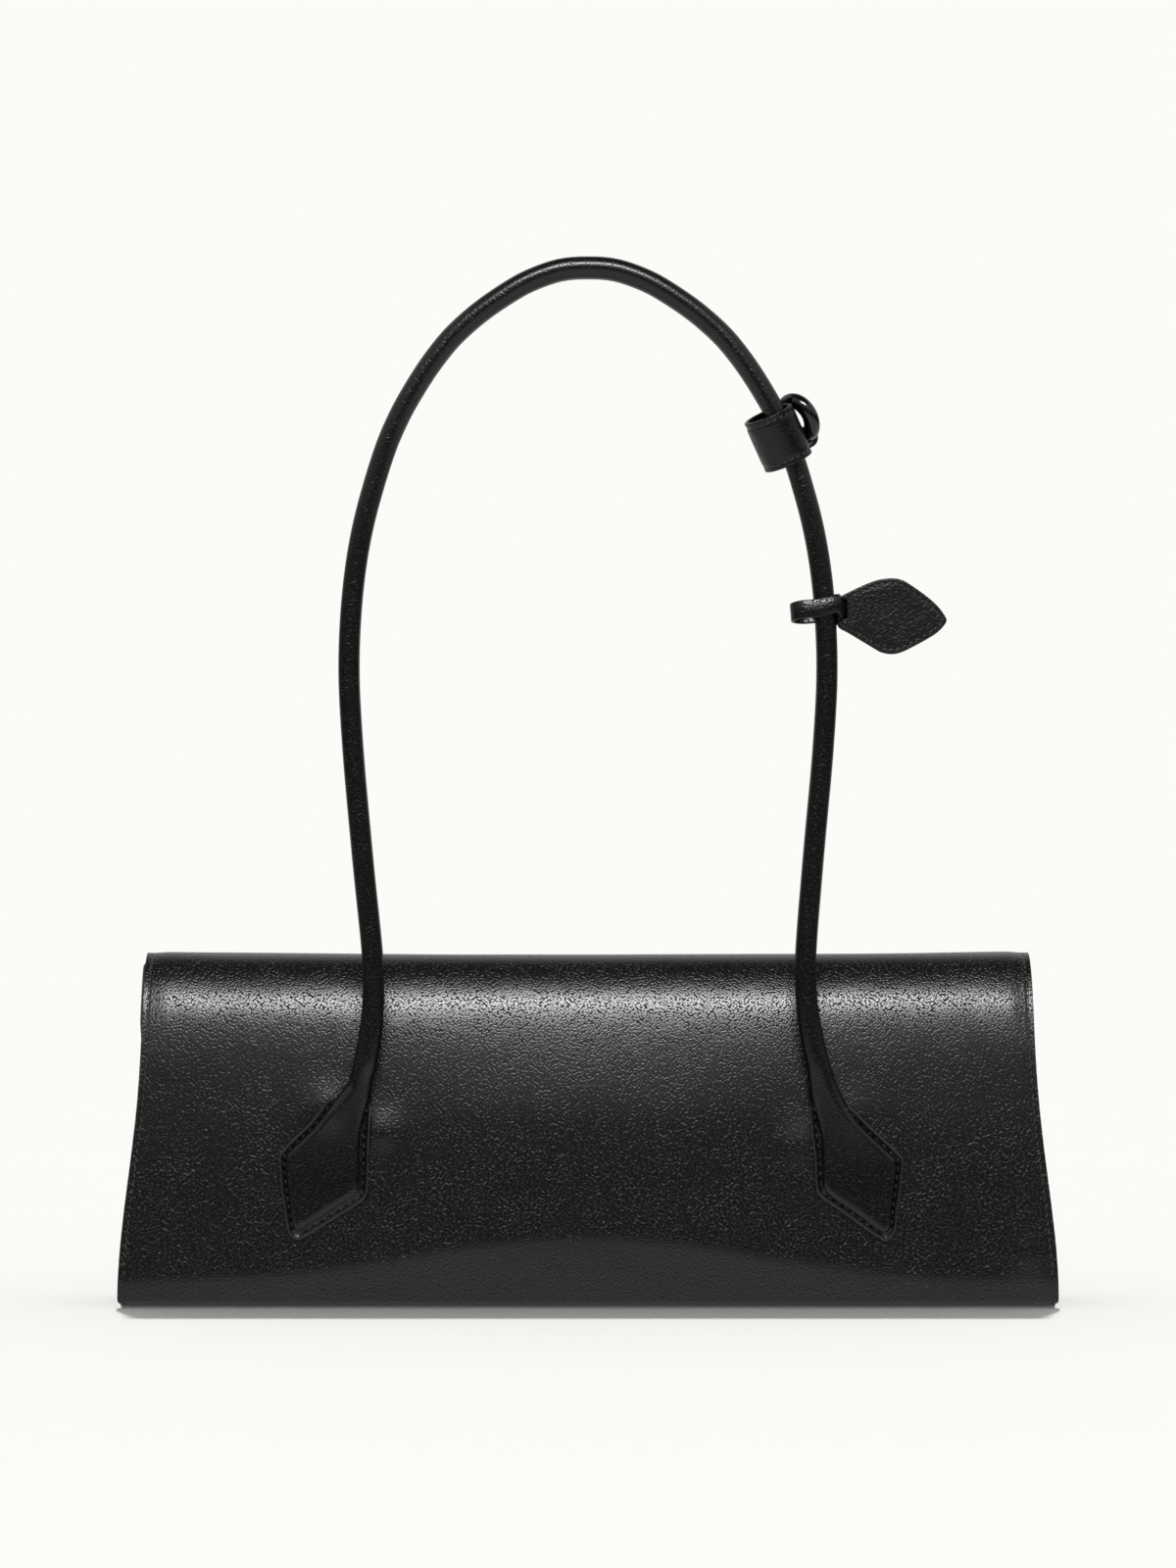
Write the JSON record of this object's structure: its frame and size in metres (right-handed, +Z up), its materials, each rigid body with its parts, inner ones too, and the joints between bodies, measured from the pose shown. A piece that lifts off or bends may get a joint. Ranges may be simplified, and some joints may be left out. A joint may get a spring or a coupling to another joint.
{
  "type": "flap bag with rolled top handle",
  "caption": "Elongated flap bag: arched body with folding gussets, a fold-over flap, an upright rolled handle on stitched patches, and a keeper with ring and a leaf-shaped toggle on the handle.",
  "frame": {"origin": "on the floor, under the middle of the base between the two gusset edges", "axes": "+Z up, +X to the right of a viewer who faces the back panel, +Y to the front with the flap; the pictured back panel faces -Y"},
  "size_m": [0.3508, 0.0782, 0.3916],
  "materials": {
    "grained_leather": "black, fine pebbled grain, low sheen",
    "handle_leather": "black, fine grain, slightly polished",
    "facing_leather": "black, smooth, matt",
    "lining_cloth": "woven, matt",
    "stiffener_board": "raw fibre board",
    "padding_felt": "felt",
    "cord_core": "twisted cord",
    "magnet_steel": "plated",
    "ring_lacquer": "black, polished"
  },
  "bodies": {
    "body": {"back_panel": "grained_leather", "back_board": "stiffener_board", "back_facing": "facing_leather", "front_panel": "grained_leather", "front_board": "stiffener_board", "front_facing": "facing_leather", "front_magnet_left": "magnet_steel", "front_magnet_right": "magnet_steel", "base_panel": "grained_leather", "base_board": "stiffener_board", "body_lining": "lining_cloth", "slip_pocket": "lining_cloth", "left_gusset": "grained_leather", "left_gusset_lining": "lining_cloth", "right_gusset": "grained_leather", "right_gusset_lining": "lining_cloth", "left_patch": "handle_leather", "left_patch_pad": "padding_felt", "right_patch": "handle_leather", "right_patch_pad": "padding_felt"},
    "flap": {"flap_leather": "grained_leather", "flap_lining": "facing_leather", "flap_board": "stiffener_board", "flap_magnet_left": "magnet_steel", "flap_magnet_right": "magnet_steel"},
    "handle": {"handle_cover": "handle_leather", "handle_core": "cord_core"},
    "keeper": {"keeper_band": "handle_leather", "ring_loop": "handle_leather"},
    "ring": {"keeper_ring": "ring_lacquer"},
    "toggle": {"leaf_loop": "handle_leather"},
    "leaf": {"leaf_back_face": "grained_leather", "leaf_front_face": "grained_leather"}
  },
  "joints": [
    {"name": "flap_hinge", "type": "hinge", "parent": "body", "child": "flap", "pos_m": [0, -0.01155, 0.1272], "axis": [1, 0, 0], "range_deg": [0, 115]},
    {"name": "handle_pivot", "type": "hinge", "parent": "body", "child": "handle", "pos_m": [0, -0.03427, 0.088], "axis": [1, 0, 0], "range_deg": [0, 90]},
    {"name": "keeper_slide", "type": "slide", "parent": "handle", "child": "keeper", "axis": [-0.4177, 0, 0.9086], "range_m": [-0.005, 0.005]},
    {"name": "ring_hinge", "type": "hinge", "parent": "keeper", "child": "ring", "pos_m": [0.0815, -0.02655, 0.3251], "axis": [-0.5865, 0.8078, -0.059], "range_deg": [0, 160]},
    {"name": "toggle_slide", "type": "slide", "parent": "handle", "child": "toggle", "axis": [-0.0714, 0, 0.9974], "range_m": [-0.025, 0.008]},
    {"name": "leaf_hinge", "type": "hinge", "parent": "toggle", "child": "leaf", "pos_m": [0.0959, -0.03427, 0.26036], "axis": [-0.0313, 0, 0.9995], "range_deg": [-25, 25]}
  ]
}
